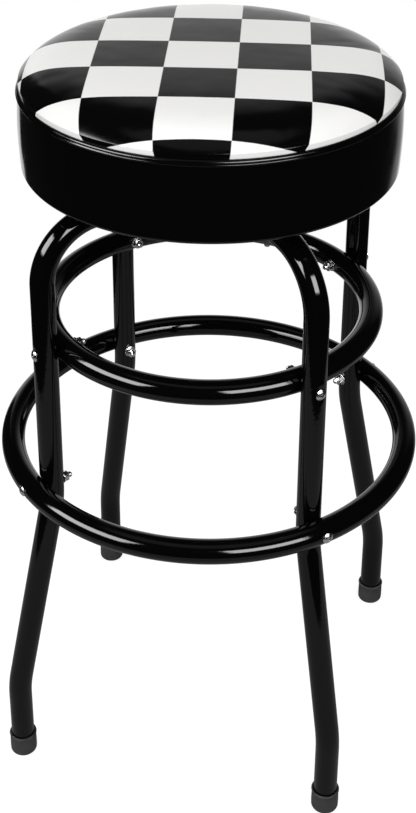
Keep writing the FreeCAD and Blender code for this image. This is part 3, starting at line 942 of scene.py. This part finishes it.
def puff_cover(piece, free_height, limit):
    """Fills the cover with pressure as cloth, lets it swell by no more than the limit, and applies it."""
    rest = [vert.co.copy() for vert in piece.data.vertices]
    pinned = piece.vertex_groups.new(name="sewn")
    held = [vert.index for vert in piece.data.vertices if vert.co.z < free_height]
    pinned.add(held, 1.0, "REPLACE")
    cloth = piece.modifiers.new("puff", "CLOTH")
    cloth.settings.vertex_group_mass = "sewn"
    cloth.settings.quality = 6
    cloth.settings.mass = 0.4
    cloth.settings.tension_stiffness = 40
    cloth.settings.compression_stiffness = 40
    cloth.settings.bending_stiffness = 8
    cloth.settings.use_pressure = True
    cloth.settings.uniform_pressure_force = 4
    cloth.settings.effector_weights.gravity = 0
    cloth.collision_settings.use_collision = False
    scene = bpy.context.scene
    for number in range(1, 16):
        scene.frame_set(number)
    graph = bpy.context.evaluated_depsgraph_get()
    swollen = piece.evaluated_get(graph).to_mesh()
    moves = [swollen.vertices[number].co - co for number, co in enumerate(rest)]
    piece.evaluated_get(graph).to_mesh_clear()
    piece.modifiers.remove(cloth)
    scene.frame_set(1)
    largest = max(move.length for move in moves)
    for vert, co, move in zip(piece.data.vertices, rest, moves):
        vert.co = co + move * min(1.0, limit / max(largest, 1e-9))
    print("cover swelled", round(largest * 1000, 2), "mm before the limit")


def map_chequers(mesh, settings):
    """Lays the printed sheet over the crown: distances along the cover become map coordinates."""
    profile = crown_profile(settings)
    lengths = [0.0]
    for (r0, z0), (r1, z1) in zip(profile, profile[1:]):
        lengths.append(lengths[-1] + math.hypot(r1 - r0, z1 - z0))
    roll_points = 8
    stretch = 1.14
    crown_end = max(range(len(profile)), key=lambda number: profile[number][0])
    turn = Matrix.Rotation(-settings.square_turn, 2)
    layer = mesh.uv_layers.new(name="chequers")
    spots = []
    for vert in mesh.vertices:
        radius = math.hypot(vert.co.x, vert.co.y)
        number = 1
        while number < crown_end and radius > profile[number][0]:
            number += 1
        span = max(profile[number][0] - profile[number - 1][0], 1e-9)
        share = min(1.0, (radius - profile[number - 1][0]) / span)
        along = lengths[number - 1] + share * (lengths[number] - lengths[number - 1])
        edge = profile[crown_end][1]
        if radius > profile[crown_end - roll_points][0] and vert.co.z < edge:
            along = lengths[crown_end] + edge - vert.co.z
        spread = 1 + stretch * (along / max(radius, 1e-9) - 1)
        flat = turn @ Vector((vert.co.x * spread, vert.co.y * spread))
        spots.append(((flat.x - settings.square_shift[0]) / settings.square,
                      (flat.y - settings.square_shift[1]) / settings.square))
    for loop in mesh.loops:
        layer.data[loop.index].uv = spots[loop.vertex_index]


class STOOL_OT_build_cushion(bpy.types.Operator):
    """Build the chequered cushion of the seat"""
    bl_idname = "stool.build_cushion"
    bl_label = "Cushion"

    def execute(self, context):
        settings = context.scene.stool_seat
        lining = SEAT_RADIUS - 0.0016
        bottom = BOARD_TOP + 0.0003
        profile = crown_profile(settings)
        crease_radius, crease = profile[-1]
        profile += [(crease_radius - 0.0008, crease - 0.0007), (crease_radius - 0.0006, crease - 0.0022)]
        profile += [(lining, crease - 0.006), (lining, SEAM_HEIGHT - 0.02)]
        profile += [(lining, bottom + 0.006), (lining - 0.006, bottom)]
        profile += [(lining * 0.66, bottom), (lining * 0.33, bottom), (0.0, bottom)]
        bm = lathed(profile, 180)
        piece = add_piece("seat_cushion", bm, "seat", "chequered_vinyl",
                          ["seat_top_cover", "seat_foam"], 60)
        sewn_below = SEAM_HEIGHT + settings.edge_height + 0.002
        puff_cover(piece, sewn_below, settings.puff_limit)
        map_chequers(piece.data, settings)
        smooth = piece.modifiers.new("smooth", "SUBSURF")
        smooth.levels = 1
        smooth.render_levels = 1
        return {"FINISHED"}


def ripple(azimuth, height):
    """A small, fixed unevenness of stretched vinyl at a place on the side, in metres."""
    slow = math.sin(3 * azimuth + 0.7) + 0.6 * math.sin(7 * azimuth + 2.1 + 9 * height)
    quick = math.sin(23 * azimuth + 40 * height) + math.sin(41 * azimuth - 60 * height + 1.3)
    return 0.00012 * slow + 0.00005 * quick


class STOOL_OT_build_side(bpy.types.Operator):
    """Build the black side band with its hem, the welt and the staples"""
    bl_idname = "stool.build_side"
    bl_label = "Side band"

    def band(self):
        """The upright band with its turned-under hem, pleated where the vinyl is gathered on the board."""
        outer = SEAT_RADIUS
        thick = 0.0012
        corner = 0.004
        steps = 14
        hem = 0.028
        flat = 0.003
        inner_edge = outer - hem
        low = SEAT_BOTTOM + corner
        top = CREASE_HEIGHT - 0.0062
        profile = [(inner_edge + (outer - corner - inner_edge) * number / 7, SEAT_BOTTOM)
                   for number in range(7)]
        profile += arc_points((outer - corner, low), corner, -90, 0, 8)
        for number in range(1, steps):
            share = number / steps
            bulge = 0.0014 * math.sin(math.pi * share)
            profile.append((outer + bulge, low + (top - low) * share))
        profile += [(outer, top), (outer - thick, top)]
        profile += arc_points((outer - corner, low), corner - thick, 0, -90, 6)
        profile += [(inner_edge, SEAT_BOTTOM + thick)]
        bm = lathed(profile, 720, closed=True)
        middle = (top + SEAT_BOTTOM) / 2
        half = (top - SEAT_BOTTOM) / 2
        for vert in bm.verts:
            radius = math.hypot(vert.co.x, vert.co.y)
            azimuth = math.atan2(vert.co.y, vert.co.x)
            if radius < outer - flat and vert.co.z < SEAT_BOTTOM + thick + 0.0001:
                inwards = (outer - flat - radius) / (hem - flat)
                fold = math.sin(33 * azimuth + 0.8 * math.sin(5 * azimuth)) ** 2
                vert.co.z -= 0.0007 * fold ** 3 * inwards
                ragged = math.sin(19 * azimuth + 2 * math.sin(7 * azimuth))
                new_radius = radius + 0.0016 * inwards ** 2 * ragged
            else:
                calm = max(0.0, 1 - ((vert.co.z - middle) / half) ** 4)
                from_join = (azimuth - math.pi / 2) * radius
                groove = 0.0006 * math.exp(-(from_join / 0.0014) ** 2)
                lap = smooth_share(from_join, 0.001, 0.003) * (1 - smooth_share(from_join, 0.009, 0.014))
                new_radius = radius + (ripple(azimuth, vert.co.z) - groove + 0.0004 * lap) * calm
            set_radius(vert, radius, new_radius)
        return bm

    def welt(self):
        """Gathered strip that slopes out from the crease, with a smooth piped bead under it."""
        outer = SEAT_RADIUS
        crease = CREASE_HEIGHT
        bead = 0.0013
        bead_middle = (outer + 0.0004, crease - 0.0050)
        strip = []
        for number in range(8):
            share = number / 7
            strip.append((outer - 0.0016 + 0.0026 * share + 0.0005 * math.sin(math.pi * share),
                          crease - 0.0003 - 0.0032 * share + 0.0004 * math.sin(math.pi * share)))
        profile = [(outer - 0.0030, crease - 0.0014), (outer - 0.0026, crease - 0.0004)] + strip
        profile += [(outer + 0.0009, crease - 0.0036)]
        profile += arc_points(bead_middle, bead, 50, -80, 9)
        profile += [(outer - 0.0004, crease - 0.0064), (outer - 0.0010, crease - 0.0050)]
        bm = lathed(profile, 1800, closed=True)
        for vert in bm.verts:
            radius = math.hypot(vert.co.x, vert.co.y)
            below = crease - vert.co.z
            azimuth = math.atan2(vert.co.y, vert.co.x)
            on_strip = smooth_share(below, 0.0002, 0.0008) * (1 - smooth_share(below, 0.0026, 0.0035))
            if radius < outer - 0.0022 or on_strip <= 0:
                continue
            slant = 620 * azimuth + 900 * below + 1.4 * math.sin(13 * azimuth) + math.sin(57 * azimuth)
            pull = 0.6 + 0.4 * math.sin(29 * azimuth + 1.7 * math.sin(11 * azimuth))
            gather = 0.00011 * pull * math.sin(slant) * on_strip
            vert.co.x *= 1 + gather * 0.75 / radius
            vert.co.y *= 1 + gather * 0.75 / radius
            vert.co.z += gather * 0.65
        return bm

    def staples(self):
        """The wire staples that hold the hem on the underside of the board."""
        wire = 0.0006
        crown = 0.0105
        staple = bmesh.new()
        made = bmesh.ops.create_cube(staple, size=1.0)["verts"]
        bmesh.ops.scale(staple, vec=(wire * 2, crown, wire), verts=made)
        bmesh.ops.bevel(staple, geom=staple.edges[:], offset=wire * 0.3, segments=2, affect="EDGES",
                        profile=0.5, material=-1)
        shape = mesh_from(staple)
        bm = bmesh.new()
        count = 40
        for number in range(count):
            lean = 9 * math.sin(number * 2.3)
            inset = 0.019 + 0.0015 * math.sin(number * 1.7)
            place = around(360 / count * (number + 0.12 * math.sin(number * 3.1)))
            seat = Matrix.Translation((SEAT_RADIUS - inset, 0, SEAT_BOTTOM - 0.0006))
            stamp(bm, shape, place @ seat @ around(lean))
        return bm

    def execute(self, context):
        add_piece("seat_side_vinyl", self.band(), "seat", "black_vinyl", ["seat_side_band"], 60)
        add_piece("seat_welt_roll", self.welt(), "seat", "black_vinyl", ["seat_welt"], 60)
        add_piece("seat_hem_staples", self.staples(), "seat", "zinc_plate", [], 30)
        return {"FINISHED"}


# Stage

class STOOL_OT_build_stage(bpy.types.Operator):
    """Build the pale floor, the studio light and the camera"""
    bl_idname = "stool.build_stage"
    bl_label = "Stage"
    lamp_aim = 0.5
    softboxes = (("left", -62, 42, 1.7, 0.6, 10), ("right", 31, 42, 1.7, 0.6, 10),
                 ("front", -6, 12, 1.9, 0.9, 9))

    def floor(self, settings):
        bm = bmesh.new()
        bmesh.ops.create_circle(bm, cap_ends=True, segments=96, radius=settings.floor_radius)
        mesh = bpy.data.meshes.new("floor")
        bm.to_mesh(mesh)
        bm.free()
        floor = bpy.data.objects.new("floor", mesh)
        bpy.context.scene.collection.objects.link(floor)
        material, maker = new_material("pale_floor")
        path = maker.node("ShaderNodeLightPath")
        seen = path["Is Camera Ray"] + path["Is Transmission Ray"] + 0.05 * path["Is Glossy Ray"]
        paint = maker.node("ShaderNodeBsdfDiffuse", None, {"Color": (0.3, 0.3, 0.3, 1.0)})[0]
        glow = maker.node("ShaderNodeEmission", None, {"Color": (1, 1, 1, 1), "Strength": 0.82 * seen})[0]
        both = maker.node("ShaderNodeAddShader", None, [paint, glow])[0]
        maker.node("ShaderNodeOutputMaterial", None, {"Surface": both})
        mesh.materials.append(material)

    def softbox_glow(self, maker, direction, azimuth, elevation, width, height):
        """How much of a soft rectangle a direction shows. Azimuth 0 is in front of the stool."""
        towards = toward(azimuth, elevation)
        aside = toward(azimuth + 90, 0)
        above = aside.cross(towards) * -1

        def along(axis):
            made = maker.node("ShaderNodeVectorMath", {"operation": "DOT_PRODUCT"}, [direction, axis])
            return made["Value"]

        depth = along(towards)
        mask = depth > 0.05
        for axis, angle in ((aside, width), (above, height)):
            reach = math.tan(math.radians(angle / 2))
            offset = maker.node("ShaderNodeMath", {"operation": "ABSOLUTE"}, [along(axis) / depth])[0]
            mask = mask * (1 - offset.step(reach - 0.06, reach + 0.04))
        return mask

    def world(self, settings):
        """White for the camera. Gloss sees a pale backdrop, two softboxes, a dim ceiling and a dark room."""
        world = bpy.data.worlds.new("studio")
        bpy.context.scene.world = world
        world.use_nodes = True
        maker = NodeMaker(world.node_tree)
        direction = maker.node("ShaderNodeTexCoord")["Generated"]
        x, y, z = maker.parts(direction)
        turn = settings.camera_azimuth
        ahead = y * math.cos(turn) - x * math.sin(turn)
        right = x * math.cos(turn) + y * math.sin(turn)
        angle = maker.node("ShaderNodeMath", {"operation": "ARCTAN2"}, [right, ahead])[0]
        backdrop = angle.step(-0.50, -0.44) * (1 - angle.step(0.15, 0.85)) * (1 - z.step(0.12, 0.60))
        base = math.degrees(turn)
        boxes = (self.softbox_glow(maker, direction, base - 66, 31, 44, 26)
                 + self.softbox_glow(maker, direction, base + 31, 30, 38, 25))
        path = maker.node("ShaderNodeLightPath")
        glossy = path["Is Glossy Ray"]
        camera = path["Is Camera Ray"].largest(path["Is Transmission Ray"])
        room = 0.44 + 0.15 * z
        ceiling = 0.28 * z.step(0.88, 0.93)
        shine = 0.015 + 0.98 * backdrop + ceiling + 18 * boxes
        lit = glossy * shine + (1 - glossy) * room
        strength = camera + (1 - camera) * lit
        background = maker.node("ShaderNodeBackground", None, {"Color": (1, 1, 1, 1), "Strength": strength})
        maker.node("ShaderNodeOutputWorld", None, {"Surface": background[0]})

    def softbox(self, name, azimuth, elevation, distance, size, power):
        """A rectangular lamp that faces the seat. Gloss shows its place in the world instead."""
        lamp = bpy.data.lights.new(name, "AREA")
        lamp.shape = "SQUARE"
        lamp.size = size
        lamp.energy = power
        box = bpy.data.objects.new(name, lamp)
        bpy.context.scene.collection.objects.link(box)
        box.visible_glossy = False
        away = toward(azimuth, elevation)
        box.location = Vector((0, 0, self.lamp_aim)) + away * distance
        box.rotation_euler = away.to_track_quat("Z", "Y").to_euler()

    def camera(self, settings):
        camera = bpy.data.cameras.new("camera")
        seen = bpy.data.objects.new("camera", camera)
        bpy.context.scene.collection.objects.link(seen)
        bpy.context.scene.camera = seen
        width, height = settings.picture_size
        camera.sensor_width = 36.0
        camera.lens = settings.focal_pixels * camera.sensor_width / height
        camera.shift_x = (width / 2 - settings.centre_pixel[0]) / height
        camera.shift_y = (settings.centre_pixel[1] - height / 2) / height
        azimuth = settings.camera_azimuth
        seen.location = (settings.camera_distance * math.sin(azimuth),
                         -settings.camera_distance * math.cos(azimuth), settings.camera_height)
        seen.rotation_euler = (Matrix.Rotation(azimuth, 3, "Z")
                               @ Matrix.Rotation(math.pi / 2 - settings.camera_pitch, 3, "X")
                               @ Matrix.Rotation(settings.camera_roll, 3, "Z")).to_euler()

    def execute(self, context):
        settings = context.scene.stool_stage
        self.floor(settings)
        self.world(settings)
        base = math.degrees(settings.camera_azimuth)
        for side, azimuth, elevation, distance, size, power in self.softboxes:
            self.softbox(side + "_softbox", base + azimuth, elevation, distance, size, power)
        self.camera(settings)
        context.scene.view_settings.view_transform = "Standard"
        return {"FINISHED"}


class STOOL_PT_panel(bpy.types.Panel):
    """Settings and steps of the stool, in the sidebar of the 3D view"""
    bl_label = "Swivel stool"
    bl_idname = "STOOL_PT_panel"
    bl_space_type = "VIEW_3D"
    bl_region_type = "UI"
    bl_category = "Stool"

    def draw(self, context):
        for operator in STEPS:
            self.layout.operator(operator.bl_idname)
        for group in SETTINGS:
            box = self.layout.box()
            settings = getattr(context.scene, group)
            for name in settings.__annotations__:
                box.prop(settings, name)


SETTINGS = {
    "stool_frame": StoolFrameSettings,
    "stool_seat": StoolSeatSettings,
    "stool_finish": StoolFinishSettings,
    "stool_stage": StoolStageSettings,
}
STEPS = [STOOL_OT_build_legs, STOOL_OT_build_rings, STOOL_OT_build_tips, STOOL_OT_build_fasteners,
         STOOL_OT_build_swivel, STOOL_OT_build_cushion, STOOL_OT_build_side, STOOL_OT_build_stage]


def register():
    for group in SETTINGS.values():
        bpy.utils.register_class(group)
    for name, group in SETTINGS.items():
        setattr(bpy.types.Scene, name, PointerProperty(type=group))
    for operator in STEPS:
        bpy.utils.register_class(operator)
    bpy.utils.register_class(STOOL_PT_panel)


def unregister():
    bpy.utils.unregister_class(STOOL_PT_panel)
    for operator in reversed(STEPS):
        bpy.utils.unregister_class(operator)
    for name in SETTINGS:
        delattr(bpy.types.Scene, name)
    for group in reversed(list(SETTINGS.values())):
        bpy.utils.unregister_class(group)


def main():
    register()
    bpy.ops.stool.build_legs()
    bpy.ops.stool.build_rings()
    bpy.ops.stool.build_tips()
    bpy.ops.stool.build_fasteners()
    bpy.ops.stool.build_swivel()
    bpy.ops.stool.build_cushion()
    bpy.ops.stool.build_side()
    bpy.ops.stool.build_stage()


if __name__ == "__main__":
    main()
